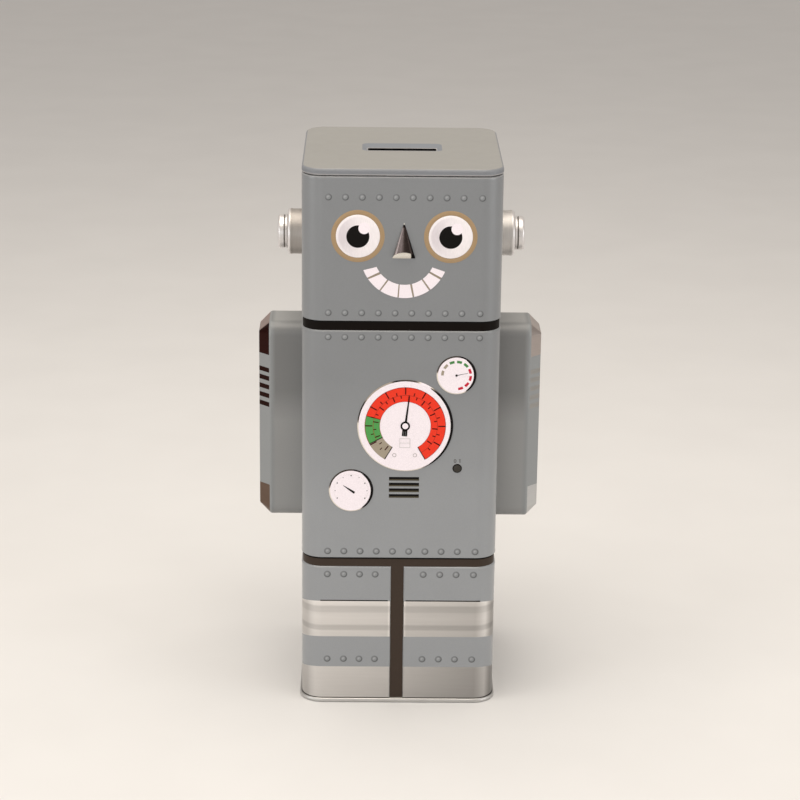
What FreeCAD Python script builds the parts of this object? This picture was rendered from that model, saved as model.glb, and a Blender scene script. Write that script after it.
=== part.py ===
import FreeCAD, Part
import os

from FreeCAD import Vector

# Robot-shaped tin money box: a printed tinplate body with a seamed base, a plug lid with a coin
# slot, pressed ear knobs, and hollow arms that swing on shoulder rivets.
# Units are millimetres. The origin is the centre of the seamed base, on the plane it stands on.
# +Z is up, the face looks along -Y, and pieces named "left" are on the -X side.

# Tinplate
GAUGE = 0.3

# Body wrap
BODY_WIDTH = 85.0
BODY_DEPTH = 88.6
CORNER_RADIUS = 9.2
BODY_TOP = 239.0
HEM_HEIGHT = 2.5
HEM_THICKNESS = 3 * GAUGE
LOCK_SEAM_WIDTH = 5.0
LOCK_SEAM_LAYERS = 2

# Double seam round the base
SEAM_HEIGHT = 2.4
SEAM_STAND_OUT = 3 * GAUGE
SEAM_FLOOR = 2 * GAUGE
BASE_PANEL_HEIGHT = 1.2

# Lid
LID_TOP = 241.9
LID_EDGE_RADIUS = 1.4
LID_HEM_HEIGHT = 1.0
DISH_LENGTH = 34.8
DISH_WIDTH = 16.4
DISH_DEPTH = 1.8
SLOT_LENGTH = 29.4
SLOT_WIDTH = 4.4
PLUG_GAP = 0.6
PLUG_BOTTOM = 229.5
PLUG_FLANGE = 2.0

# Pressed features of the printed front
PRESS_HEIGHT = 0.6
FRONT_CENTRE_X = 0.8
EYE_SPACING = 38.7
EYE_HEIGHT = 213.0
EYE_RADIUS = 9.3
NOSE_TOP = 219.0
NOSE_BOTTOM = 204.4
NOSE_HALF_WIDTH = 4.8
NOSE_STAND_OUT = 2.8
NOSE_TIP_RISE = 1.4
MAIN_GAUGE = (2.0, 129.4, 19.8)
UPPER_GAUGE = (23.8, 152.4, 8.3)
LOWER_GAUGE = (-21.0, 99.9, 9.5)

# Ear knobs
EAR_HEIGHT = 204.2
EAR_BASE_RADIUS = 10.0
EAR_BASE_DEPTH = 7.0
EAR_COLLAR_RADIUS = 7.0
EAR_COLLAR_DEPTH = 2.7
EAR_CAP_DEPTH = 4.2
EAR_EDGE_RADIUS = 1.2
EAR_GAUGE = 0.4

# Arms
ARM_BOTTOM = 75.8
ARM_HEIGHT = 90.1
ARM_DEPTH = 25.2
ARM_OUTER_X = 62.1
ARM_CHAMFER = 5.0
ARM_CORNER = 5.7
ARM_PLATE_GAUGE = 0.4

# Rivets and washers
RIVET_RADIUS = 1.5
RIVET_BORE_RADIUS = 1.55
RIVET_HEAD_RADIUS = 4.0
RIVET_HEAD_HEIGHT = 1.1
RIVET_TAIL_RADIUS = 2.6
RIVET_TAIL_HEIGHT = 1.0
EAR_RIVET_HEAD_RADIUS = 3.0
WASHER_RADIUS = 4.5
WASHER_THICKNESS = 0.8
SPACER_RADIUS = 5.0
SPACER_THICKNESS = 0.8
END_PLAY = 0.05

# Derived places on the +X side
WALL_OUTER_X = BODY_WIDTH / 2
WALL_INNER_X = WALL_OUTER_X - GAUGE
WASHER_INNER_X = WALL_INNER_X - WASHER_THICKNESS
SPACER_OUTER_X = WALL_OUTER_X + SPACER_THICKNESS
ARM_INNER_X = SPACER_OUTER_X + END_PLAY
SHOULDER_HEIGHT = ARM_BOTTOM + ARM_HEIGHT - ARM_DEPTH / 2
FRONT_Y = -BODY_DEPTH / 2
BACK_Y = BODY_DEPTH / 2

X_AXIS = Vector(1, 0, 0)
Y_AXIS = Vector(0, 1, 0)
ORIGIN = Vector(0, 0, 0)


def is_vertical(edge):
    """True for a straight edge that runs along Z."""
    ends = [vertex.Point for vertex in edge.Vertexes]
    return len(ends) == 2 and (ends[1] - ends[0]).cross(Vector(0, 0, 1)).Length < 1e-6


def lies_at_height(edge, height):
    """True for an edge whose box is flat at the given height."""
    box = edge.BoundBox
    return abs(box.ZMin - height) < 1e-6 and abs(box.ZMax - height) < 1e-6


def box_between(low, high):
    """Axis-aligned box between two corners."""
    size = high - low
    return Part.makeBox(size.x, size.y, size.z, low)


def rounded_prism(inset, z_low, z_high, edge_radius=0.0):
    """The body's outline moved in by inset and raised from z_low to z_high.

    edge_radius rounds the edge round its top.
    """
    half_x = BODY_WIDTH / 2 - inset
    half_y = BODY_DEPTH / 2 - inset
    prism = box_between(Vector(-half_x, -half_y, z_low), Vector(half_x, half_y, z_high))
    prism = prism.makeFillet(CORNER_RADIUS - inset, [e for e in prism.Edges if is_vertical(e)])
    if edge_radius > 0:
        top_edges = [e for e in prism.Edges if lies_at_height(e, z_high)]
        prism = prism.makeFillet(edge_radius, top_edges)
    return prism


def rounded_ring(inset, thickness, z_low, z_high):
    """Band of the body's outline, thickness wide, with its outside moved in by inset."""
    outer = rounded_prism(inset, z_low, z_high)
    return outer.cut(rounded_prism(inset + thickness, z_low, z_high))


def rod(radius, x_low, x_high, height):
    """Round bar along X through the middle of the depth, at the given height."""
    return Part.makeCylinder(radius, x_high - x_low, Vector(x_low, 0, height), X_AXIS)


def front_disc(centre_x, centre_z, radius, y_low, y_high):
    """Disc facing the front, between two depths."""
    return Part.makeCylinder(radius, y_high - y_low, Vector(centre_x, y_low, centre_z), Y_AXIS)


def press_disc(wall, centre_x, centre_z, radius):
    """Press a flat round boss outward in the front wall, at the sheet's own thickness."""
    raised = front_disc(centre_x, centre_z, radius, FRONT_Y - PRESS_HEIGHT, FRONT_Y + GAUGE)
    hollow_bottom = FRONT_Y - PRESS_HEIGHT + GAUGE
    hollow = front_disc(centre_x, centre_z, radius - GAUGE, hollow_bottom, FRONT_Y + GAUGE)
    return wall.fuse(raised).cut(hollow)


def nose_solid(shrink, y_shift):
    """Pointed nose: a ridge from the brow down to a tip, sloping back to the wall below it."""
    half_width = NOSE_HALF_WIDTH - shrink
    wall_y = FRONT_Y + y_shift
    brow = Vector(FRONT_CENTRE_X, wall_y, NOSE_TOP - 2 * shrink)
    left = Vector(FRONT_CENTRE_X - half_width, wall_y, NOSE_BOTTOM + shrink)
    right = Vector(FRONT_CENTRE_X + half_width, wall_y, NOSE_BOTTOM + shrink)
    tip = Vector(FRONT_CENTRE_X, wall_y - NOSE_STAND_OUT, NOSE_BOTTOM + NOSE_TIP_RISE)
    faces = []
    for corners in ((brow, left, tip), (brow, tip, right), (left, right, tip), (brow, right, left)):
        faces.append(Part.Face(Part.makePolygon(list(corners) + [corners[0]])))
    return Part.makeSolid(Part.makeShell(faces))


def press_nose(wall):
    """Press the pointed nose outward in the front wall."""
    return wall.fuse(nose_solid(0, 0)).cut(nose_solid(GAUGE, GAUGE))


def make_body_wrap():
    """One wrapped sheet: walls, hemmed mouth, lock seam at the back and pressed front."""
    wrap = rounded_ring(0, GAUGE, SEAM_FLOOR, BODY_TOP)
    hem = rounded_ring(GAUGE, HEM_THICKNESS - GAUGE, BODY_TOP - HEM_HEIGHT, BODY_TOP)
    wrap = wrap.fuse(hem)
    lock_seam = box_between(
        Vector(-LOCK_SEAM_WIDTH / 2, BACK_Y - GAUGE * (1 + LOCK_SEAM_LAYERS), SEAM_HEIGHT),
        Vector(LOCK_SEAM_WIDTH / 2, BACK_Y - GAUGE, BODY_TOP - HEM_HEIGHT),
    )
    wrap = wrap.fuse(lock_seam)
    for side in (-1, 1):
        eye_x = FRONT_CENTRE_X + side * EYE_SPACING / 2
        wrap = press_disc(wrap, eye_x, EYE_HEIGHT, EYE_RADIUS)
    for centre_x, centre_z, radius in (MAIN_GAUGE, UPPER_GAUGE, LOWER_GAUGE):
        wrap = press_disc(wrap, centre_x, centre_z, radius)
    wrap = press_nose(wrap)
    for height in (EAR_HEIGHT, SHOULDER_HEIGHT):
        wrap = wrap.cut(rod(RIVET_RADIUS, -BODY_WIDTH, BODY_WIDTH, height))
    return wrap.removeSplitter()


def make_base_plate():
    """Base panel and the double seam that grips the foot of the wrap."""
    outer = rounded_prism(-SEAM_STAND_OUT, 0, SEAM_HEIGHT)
    rim_edges = []
    for height in (0, SEAM_HEIGHT):
        rim_edges += [e for e in outer.Edges if lies_at_height(e, height)]
    outer = outer.makeFillet(SEAM_STAND_OUT / 2, rim_edges)
    seam = outer.cut(rounded_prism(GAUGE + SEAM_STAND_OUT, 0, SEAM_HEIGHT))
    seam = seam.cut(rounded_ring(0, GAUGE, SEAM_FLOOR, SEAM_HEIGHT))
    panel = rounded_prism(GAUGE + SEAM_STAND_OUT, BASE_PANEL_HEIGHT, BASE_PANEL_HEIGHT + GAUGE)
    return seam.fuse(panel).removeSplitter()


def dish_solid(grow, z_low, z_high):
    """Tapered block for the slot's dish, from the slot's outline up to the dish's own."""
    outlines = []
    for length, width, height in (
        (SLOT_LENGTH, SLOT_WIDTH, z_low),
        (DISH_LENGTH, DISH_WIDTH, z_high),
    ):
        half_x = length / 2 + grow
        half_y = width / 2 + grow
        corners = [
            Vector(-half_x, -half_y, height),
            Vector(half_x, -half_y, height),
            Vector(half_x, half_y, height),
            Vector(-half_x, half_y, height),
        ]
        outlines.append(Part.makePolygon(corners + corners[:1]))
    return Part.makeLoft(outlines, True, True)


def make_lid():
    """Pressed lid: flat top, rounded edge, hemmed rim, and a dish with the coin slot."""
    shell = rounded_prism(0, BODY_TOP, LID_TOP, LID_EDGE_RADIUS)
    hollow = rounded_prism(GAUGE, BODY_TOP, LID_TOP - GAUGE, LID_EDGE_RADIUS - GAUGE)
    lid = shell.cut(hollow)
    lid = lid.fuse(rounded_ring(GAUGE, GAUGE, BODY_TOP, BODY_TOP + LID_HEM_HEIGHT))
    dish_bottom = LID_TOP - DISH_DEPTH
    lid = lid.fuse(dish_solid(GAUGE, dish_bottom - GAUGE, LID_TOP - GAUGE))
    lid = lid.cut(dish_solid(0, dish_bottom, LID_TOP))
    slot = box_between(
        Vector(-SLOT_LENGTH / 2, -SLOT_WIDTH / 2, dish_bottom - 2 * GAUGE),
        Vector(SLOT_LENGTH / 2, SLOT_WIDTH / 2, LID_TOP),
    )
    return lid.cut(slot).removeSplitter()


def make_lid_plug():
    """Ring that plugs into the body's mouth, with a flange turned in under the lid."""
    inset = HEM_THICKNESS + PLUG_GAP
    flange_top = LID_TOP - GAUGE
    wall = rounded_ring(inset, GAUGE, PLUG_BOTTOM, flange_top)
    flange = rounded_ring(inset, GAUGE + PLUG_FLANGE, flange_top - GAUGE, flange_top)
    return wall.fuse(flange).removeSplitter()


def rounded_drum(radius, x_low, x_high, height, edge_radius):
    """Round bar along X with its outer end rounded."""
    drum = rod(radius, x_low, x_high, height)
    outer_edges = [e for e in drum.Edges if abs(e.BoundBox.XMin - x_high) < 1e-6]
    return drum.makeFillet(edge_radius, outer_edges)


def make_ear_base():
    """Stepped drum that stands on the side of the head."""
    step_x = WALL_OUTER_X + EAR_BASE_DEPTH
    collar_x = step_x + EAR_COLLAR_DEPTH
    inner_edge = EAR_EDGE_RADIUS - EAR_GAUGE
    base = rounded_drum(EAR_BASE_RADIUS, WALL_OUTER_X, step_x, EAR_HEIGHT, EAR_EDGE_RADIUS)
    base = base.fuse(rod(EAR_COLLAR_RADIUS, step_x, collar_x, EAR_HEIGHT))
    hollow = rounded_drum(
        EAR_BASE_RADIUS - EAR_GAUGE, WALL_OUTER_X, step_x - EAR_GAUGE, EAR_HEIGHT, inner_edge
    )
    collar_hollow = rod(
        EAR_COLLAR_RADIUS - EAR_GAUGE, WALL_OUTER_X, collar_x - EAR_GAUGE, EAR_HEIGHT
    )
    bore = rod(RIVET_RADIUS, WALL_OUTER_X, collar_x, EAR_HEIGHT)
    return base.cut(hollow).cut(collar_hollow).cut(bore).removeSplitter()


def make_ear_cap():
    """Cup pressed over the ear's collar, hiding the rivet."""
    low_x = WALL_OUTER_X + EAR_BASE_DEPTH
    high_x = low_x + EAR_CAP_DEPTH
    radius = EAR_COLLAR_RADIUS + EAR_GAUGE
    cap = rounded_drum(radius, low_x, high_x, EAR_HEIGHT, EAR_EDGE_RADIUS)
    return cap.cut(rod(EAR_COLLAR_RADIUS, low_x, high_x - EAR_GAUGE, EAR_HEIGHT))


def make_rivet(height, head_x, head_radius):
    """Headed rivet clinched against the washer inside the wall."""
    rivet = rod(RIVET_RADIUS, WASHER_INNER_X, head_x, height)
    rivet = rivet.fuse(rod(head_radius, head_x, head_x + RIVET_HEAD_HEIGHT, height))
    tail_x = WASHER_INNER_X - RIVET_TAIL_HEIGHT
    rivet = rivet.fuse(rod(RIVET_TAIL_RADIUS, tail_x, WASHER_INNER_X, height))
    return rivet.removeSplitter()


def make_washer(height, radius, x_low, x_high):
    """Flat washer that fits the rivet's shank."""
    return rod(radius, x_low, x_high, height).cut(rod(RIVET_RADIUS, x_low, x_high, height))


def round_arm_corners(block, radius):
    """Rounds the four edges of a block that run along X."""
    cross_edges = [e for e in block.Edges if e.BoundBox.YLength + e.BoundBox.ZLength < 1e-6]
    return block.makeFillet(radius, cross_edges)


def arm_block(inset, x_low, x_high):
    """Arm moved in by inset, with rounded ends and the outer face chamfered all round."""
    block = box_between(
        Vector(x_low, -ARM_DEPTH / 2 + inset, ARM_BOTTOM + inset),
        Vector(x_high, ARM_DEPTH / 2 - inset, ARM_BOTTOM + ARM_HEIGHT - inset),
    )
    block = round_arm_corners(block, ARM_CORNER - inset)
    outer_edges = [e for e in block.Edges if abs(e.BoundBox.XMin - x_high) < 1e-6]
    return block.makeChamfer(ARM_CHAMFER, outer_edges)


def make_arm_shell():
    """Hollow pressed arm, open towards the body."""
    outer = arm_block(0, ARM_INNER_X, ARM_OUTER_X)
    return outer.cut(arm_block(GAUGE, ARM_INNER_X, ARM_OUTER_X - GAUGE))


def make_arm_back_plate():
    """Plate that closes the arm and turns on the shoulder rivet."""
    plate = box_between(
        Vector(ARM_INNER_X, -ARM_DEPTH / 2 + GAUGE, ARM_BOTTOM + GAUGE),
        Vector(
            ARM_INNER_X + ARM_PLATE_GAUGE,
            ARM_DEPTH / 2 - GAUGE,
            ARM_BOTTOM + ARM_HEIGHT - GAUGE,
        ),
    )
    plate = round_arm_corners(plate, ARM_CORNER - GAUGE)
    bore = rod(RIVET_BORE_RADIUS, ARM_INNER_X, ARM_INNER_X + ARM_PLATE_GAUGE, SHOULDER_HEIGHT)
    return plate.cut(bore)


def make_side_pieces():
    """Pieces of one ear and one arm, on the +X side."""
    ear_head_x = WALL_OUTER_X + EAR_BASE_DEPTH + EAR_COLLAR_DEPTH
    shoulder_head_x = ARM_INNER_X + ARM_PLATE_GAUGE + END_PLAY
    return {
        "ear_base": make_ear_base(),
        "ear_cap": make_ear_cap(),
        "ear_rivet": make_rivet(EAR_HEIGHT, ear_head_x, EAR_RIVET_HEAD_RADIUS),
        "ear_washer": make_washer(EAR_HEIGHT, WASHER_RADIUS, WASHER_INNER_X, WALL_INNER_X),
        "arm_shell": make_arm_shell(),
        "arm_back_plate": make_arm_back_plate(),
        "shoulder_rivet": make_rivet(SHOULDER_HEIGHT, shoulder_head_x, RIVET_HEAD_RADIUS),
        "shoulder_spacer": make_washer(
            SHOULDER_HEIGHT, SPACER_RADIUS, WALL_OUTER_X, SPACER_OUTER_X
        ),
        "shoulder_washer": make_washer(
            SHOULDER_HEIGHT, WASHER_RADIUS, WASHER_INNER_X, WALL_INNER_X
        ),
    }


def make_pieces():
    """Every piece of the money box by node name."""
    pieces = {
        "body_wrap": make_body_wrap(),
        "base_plate": make_base_plate(),
        "lid": make_lid(),
        "lid_plug": make_lid_plug(),
    }
    for name, shape in make_side_pieces().items():
        pieces["right_" + name] = shape
        pieces["left_" + name] = shape.mirror(ORIGIN, X_AXIS)
    return pieces


os.makedirs("parts", exist_ok=True)
for node, solid in make_pieces().items():
    if not solid.isValid() or len(solid.Solids) != 1:
        raise ValueError(node + " is not one valid solid")
    solid.Solids[0].exportStep("parts/" + node + ".step")
    box = solid.BoundBox
    print(
        "%-24s volume %9.1f  x %7.2f %7.2f  y %7.2f %7.2f  z %7.2f %7.2f"
        % (node, solid.Volume, box.XMin, box.XMax, box.YMin, box.YMax, box.ZMin, box.ZMax)
    )
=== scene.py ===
import math

import bmesh
import bpy
from mathutils import Matrix, Vector


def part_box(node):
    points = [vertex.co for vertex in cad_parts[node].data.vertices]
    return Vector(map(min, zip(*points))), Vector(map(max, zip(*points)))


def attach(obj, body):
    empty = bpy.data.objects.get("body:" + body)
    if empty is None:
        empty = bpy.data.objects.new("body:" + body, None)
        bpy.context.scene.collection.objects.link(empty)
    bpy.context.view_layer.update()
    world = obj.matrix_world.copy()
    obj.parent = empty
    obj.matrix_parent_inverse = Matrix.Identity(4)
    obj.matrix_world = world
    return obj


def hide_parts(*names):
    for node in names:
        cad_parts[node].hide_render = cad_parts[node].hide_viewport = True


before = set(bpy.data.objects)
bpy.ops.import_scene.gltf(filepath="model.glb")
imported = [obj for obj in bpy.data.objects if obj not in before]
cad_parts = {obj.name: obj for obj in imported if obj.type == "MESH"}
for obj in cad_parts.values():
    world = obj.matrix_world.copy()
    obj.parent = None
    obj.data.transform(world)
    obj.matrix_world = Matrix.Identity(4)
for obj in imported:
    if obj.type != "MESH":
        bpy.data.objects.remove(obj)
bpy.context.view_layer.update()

# Lengths below are millimetres in the CAD frame: +Z up, the face looks along -Y.
MM = 0.001


def corners(node):
    """Lowest and highest corner of a CAD node, in millimetres."""
    low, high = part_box(node)
    return low / MM, high / MM


# Driving dimensions, read from the frame
LID_LOW, LID_HIGH = corners("lid")
SEAM_LOW, SEAM_HIGH = corners("base_plate")
ARM_LOW, ARM_HIGH = corners("right_arm_shell")
EAR_LOW, EAR_HIGH = corners("right_ear_base")
CAP_LOW, CAP_HIGH = corners("right_ear_cap")

HALF_WIDTH = LID_HIGH.x
HALF_DEPTH = LID_HIGH.y
BODY_TOP = LID_LOW.z
LID_TOP = LID_HIGH.z
SEAM_TOP = SEAM_HIGH.z
SEAM_STAND_OUT = SEAM_HIGH.x - HALF_WIDTH
SEAM_RIM = SEAM_TOP - 0.5
FRONT_Y = -HALF_DEPTH

# Sheet metal
GAUGE = 0.3
CORNER_RADIUS = 9.2
CORNER_STEPS = 14

# Heights of the printed and pressed zones, up from the base
FOOT_TOP = 17.0
KNEE_BOTTOM = 31.4
KNEE_TOP = 48.2
WAIST_BOTTOM = 64.1
WAIST_TOP = 68.75
NECK_BOTTOM = 171.5
NECK_TOP = 176.15
GROOVE_DEPTH = 0.45

PRINT_DROOP = 2.2

# Stripe between the legs
STRIPE_CENTRE = -0.55
STRIPE_HALF = 2.8
STRIPE_EDGE = 0.35

# Lock seam down the back
LOCK_HALF = 2.4
LOCK_RISE = 0.18

# Rows of pressed rivet heads
RIVET_PITCH = 7.08
RIVET_FIRST = -31.1
RIVET_LAST = 33.3
RIVET_ROWS = (71.7, 169.0, 179.7, 229.8)
LEG_ROWS = (20.7, 60.9)
LEG_RIVETS = (-31.2, -24.0, -17.1, -10.25, 10.8, 18.05, 25.2, 32.8)
RIVET_HEAD_RADIUS = 1.45
RIVET_HEAD_RISE = 0.1

# Face
EYES = ((-18.7, 213.1), (20.3, 213.0))
EYE_RING = 11.1
EYE_WHITE = 9.25
EYE_CROWN = 0.75
PUPIL = 4.85
GLINT = 2.45
GLINT_OFFSET = (2.65, 3.6)
NOSE_CENTRE = 0.7
NOSE_TOP = 219.2
NOSE_BOTTOM = 203.7
NOSE_HALF_WIDTH = 4.75
NOSE_STAND_OUT = 2.1
NOSE_TIP_RISE = 2.9
MOUTH_CENTRE = (1.0, 205.3)
MOUTH_OUTER = 18.55
MOUTH_INNER = 12.9
MOUTH_STRETCH = 1.02
TEETH = (
    (21.4, 24.6, 32.5, 35.4),
    (35.0, 40.2, 55.4, 56.0),
    (57.3, 59.0, 81.2, 79.3),
    (83.0, 81.6, 101.3, 100.8),
    (103.4, 104.6, 124.6, 124.4),
    (126.9, 127.3, 145.2, 143.1),
    (148.2, 146.7, 157.2, 155.4),
)

# Dials: centre x, centre z, radius
MAIN_DIAL = (2.15, 129.5, 20.6)
UPPER_DIAL = (23.8, 152.4, 8.5)
LOWER_DIAL = (-21.0, 99.9, 9.6)
DIAL_RISE = 0.5
DIAL_RIM = 0.6
DIAL_FACE = DIAL_RISE - 0.04
INK = 0.04

# Louvres and switch
LOUVRE_CENTRE = 1.9
LOUVRE_HALF = 6.5
LOUVRE_HEIGHTS = (97.5, 100.15, 102.75, 105.4)
SWITCH = (24.8, 110.3)
SWITCH_RADIUS = 1.75

# Arm print
ARM_CHAMFER = 5.0
ARM_CORNER = 5.7
ARM_EDGE = 1.6
ARM_FACE_EDGE = 0.8
ARM_FLAT = ARM_HIGH.x - ARM_CHAMFER
ARM_REACH_IN = 0.5
ARM_SHOULDER_ZONE = 151.1
ARM_HAND_ZONE = 90.7
ARM_STRIPES = (128.2, 132.2, 136.2, 140.2, 144.0)
ARM_STRIPE_HALF = 1.05

# Coin slot in the lid
DISH_HALF = (17.4, 8.2)
DISH_CORNER = 3.0
DISH_DEPTH = 1.0
SLOT_HALF = (14.7, 2.2)
SLOT_CORNER = 0.9
LID_EDGE = 1.4


# ---------------------------------------------------------------- materials

def shader(name):
    """New material with its node tree, and its principled shader."""
    material = bpy.data.materials.new(name)
    material.use_nodes = True
    tree = material.node_tree
    return material, tree, tree.nodes["Principled BSDF"]


def add_node(tree, kind, **values):
    """Node with input values set by name."""
    node = tree.nodes.new(kind)
    for key, value in values.items():
        node.inputs[key.replace("_", " ")].default_value = value
    return node


def object_position(tree, scale=(1, 1, 1)):
    """Position on the object, scaled along each axis."""
    place = tree.nodes.new("ShaderNodeTexCoord")
    mapping = add_node(tree, "ShaderNodeMapping", Scale=scale)
    tree.links.new(place.outputs["Object"], mapping.inputs["Vector"])
    return mapping.outputs["Vector"]


def object_axes(tree):
    """Node that gives the position on the object as separate X, Y and Z."""
    place = tree.nodes.new("ShaderNodeTexCoord")
    split = tree.nodes.new("ShaderNodeSeparateXYZ")
    tree.links.new(place.outputs["Object"], split.inputs["Vector"])
    return split


def noise(tree, size_mm, detail=3.0, stretch=(1, 1, 1)):
    """Noise whose grains are size_mm across, longer where stretch is under 1."""
    node = add_node(tree, "ShaderNodeTexNoise", Scale=1 / (size_mm * MM), Detail=detail)
    tree.links.new(object_position(tree, stretch), node.inputs["Vector"])
    return node.outputs["Fac"]


def ramp(tree, source, stops):
    """Colour ramp: stops are (position, colour)."""
    node = tree.nodes.new("ShaderNodeValToRGB")
    elements = node.color_ramp.elements
    while len(elements) < len(stops):
        elements.new(0.5)
    for element, (position, colour) in zip(elements, stops):
        element.position = position
        element.color = (*colour, 1)
    tree.links.new(source, node.inputs["Fac"])
    return node.outputs["Color"]


def spread(tree, source, low, high, from_low=0.35, from_high=0.65):
    """Maps a noise value onto the range from low to high."""
    ends = {"From_Min": from_low, "From_Max": from_high, "To_Min": low, "To_Max": high}
    node = add_node(tree, "ShaderNodeMapRange", **ends)
    tree.links.new(source, node.inputs["Value"])
    return node.outputs["Result"]


def multiply(tree, first, second):
    """Product of two colours."""
    node = tree.nodes.new("ShaderNodeMix")
    node.data_type = "RGBA"
    node.blend_type = "MULTIPLY"
    node.inputs["Factor"].default_value = 1.0
    tree.links.new(first, node.inputs["A"])
    tree.links.new(second, node.inputs["B"])
    return node.outputs["Result"]


def bump(tree, bsdf, source, height_mm, strength=1.0):
    """Raises the surface by a noise value."""
    node = add_node(tree, "ShaderNodeBump", Strength=strength, Distance=height_mm * MM)
    tree.links.new(source, node.inputs["Height"])
    tree.links.new(node.outputs["Normal"], bsdf.inputs["Normal"])


def tinted(colour, share):
    """The colour made lighter or darker by a share."""
    return tuple(min(1.0, channel * (1 + share)) for channel in colour)


def enamel(name, colour, roughness=0.36, coat=0.35, painted_light_by_height=((0, 1.0), (1, 1.0)), edge=None):
    """Printed and varnished enamel: faint mottling, fine speckle and a soft orange peel.

    The height table paints light and shade: the colour's strength at rising heights. edge is a
    second colour, a painted highlight, that the colour turns into between two distances from the middle
    plane.
    """
    material, tree, bsdf = shader(name)
    top = max(share for _, share in painted_light_by_height)
    colour = [part * top for part in colour]
    mottle = ((0.3, tinted(colour, -0.02)), (0.5, colour), (0.7, tinted(colour, 0.02)))
    clouds = ramp(tree, noise(tree, 24, 4), mottle)
    speckle = ramp(tree, noise(tree, 0.35, 2), ((0.3, (0.955,) * 3), (0.62, (1.0,) * 3)))
    split = object_axes(tree)
    # Painted light and shade: the colour's strength by height.
    low, high = painted_light_by_height[0][0], painted_light_by_height[-1][0]
    height = spread(tree, split.outputs["Z"], 0, 1, low * MM, high * MM)
    stops = [((at - low) / (high - low), (share / top,) * 3) for at, share in painted_light_by_height]
    shaded = multiply(tree, clouds, ramp(tree, height, stops))
    # Painted highlight: near the sides the colour turns into the lighter edge colour.
    if edge:
        highlight_colour, start, end = edge
        side = tree.nodes.new("ShaderNodeMath")
        side.operation = "ABSOLUTE"
        tree.links.new(split.outputs["X"], side.inputs[0])
        blend = tree.nodes.new("ShaderNodeMix")
        blend.data_type = "RGBA"
        reach = spread(tree, side.outputs[0], 0, 1, start * MM, end * MM)
        tree.links.new(reach, blend.inputs["Factor"])
        tree.links.new(shaded, blend.inputs["A"])
        blend.inputs["B"].default_value = (*highlight_colour, 1)
        shaded = blend.outputs["Result"]
    tree.links.new(multiply(tree, shaded, speckle), bsdf.inputs["Base Color"])
    rough = spread(tree, noise(tree, 6, 4), roughness - 0.015, roughness + 0.02)
    tree.links.new(rough, bsdf.inputs["Roughness"])
    bsdf.inputs["Coat Weight"].default_value = coat
    bsdf.inputs["Coat Roughness"].default_value = 0.14
    bump(tree, bsdf, noise(tree, 0.9, 2), 0.008, 0.5)
    return material


def ink(name, colour, roughness=0.42, shine=0.25):
    """Screen-printed colour: fine halftone grain, a little shiny."""
    material, tree, bsdf = shader(name)
    halftone = ((0.35, tinted(colour, -0.08)), (0.6, tinted(colour, 0.03)))
    grain = ramp(tree, noise(tree, 0.22, 1), halftone)
    tree.links.new(grain, bsdf.inputs["Base Color"])
    rough = spread(tree, noise(tree, 3, 3), roughness - 0.03, roughness + 0.05)
    tree.links.new(rough, bsdf.inputs["Roughness"])
    bsdf.inputs["Specular IOR Level"].default_value = shine
    bump(tree, bsdf, noise(tree, 0.6, 1), 0.006, 0.4)
    return material


def tinplate(name, colour, roughness=0.26, stretch=(0.04, 0.04, 1), grain_mm=0.35, metallic=1.0):
    """Rolled or spun metal: streaks along the working direction and faint cloudy bloom."""
    material, tree, bsdf = shader(name)
    streaks = noise(tree, grain_mm, 3, stretch)
    ends = ((0.32, tinted(colour, -0.08)), (0.68, tinted(colour, 0.04)))
    streak_colour = ramp(tree, streaks, ends)
    bloom = ramp(tree, noise(tree, 14, 3), ((0.3, (0.93,) * 3), (0.7, (1.0,) * 3)))
    tree.links.new(multiply(tree, streak_colour, bloom), bsdf.inputs["Base Color"])
    bsdf.inputs["Metallic"].default_value = metallic
    rough = spread(tree, streaks, roughness - 0.04, roughness + 0.06)
    tree.links.new(rough, bsdf.inputs["Roughness"])
    bump(tree, bsdf, streaks, 0.003, 0.3)
    return material


# Tints of the legs' bare tin: one for its level bands, one for its painted reflection across the legs.
LEG_TIN = (1.0, 0.983, 0.975)
LEG_FALL = (1.0, 0.985, 0.965)


def leg_metal(name, bottom, top, stops, shares):
    """Bare tin of the legs: level bands between two heights, and a painted reflection that runs lighter
    and darker from left to right by the shares.
    """
    material, tree, bsdf = shader(name)
    split = object_axes(tree)
    height = spread(tree, split.outputs["Z"], 0, 1, bottom * MM, top * MM)
    top = max(share for _, share in shares)
    bands = ramp(tree, height, [(at, tinted(LEG_TIN, top * value - 1)) for at, value in stops])
    across = spread(tree, split.outputs["X"], 0, 1, -HALF_WIDTH * MM, HALF_WIDTH * MM)
    # Painted reflection across the legs, with painted highlights near the corners.
    fall = ramp(tree, across, [(at, tinted(LEG_FALL, share / top - 1)) for at, share in shares])
    streaks = noise(tree, 0.8, 1, (0.04, 0.04, 1))
    grain = ramp(tree, streaks, ((0.3, (0.965,) * 3), (0.7, (1.0,) * 3)))
    colour = multiply(tree, multiply(tree, bands, fall), grain)
    tree.links.new(colour, bsdf.inputs["Base Color"])
    bsdf.inputs["Metallic"].default_value = 1.0
    tree.links.new(spread(tree, streaks, 0.28, 0.33), bsdf.inputs["Roughness"])
    bump(tree, bsdf, streaks, 0.002, 0.1)
    return material


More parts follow.
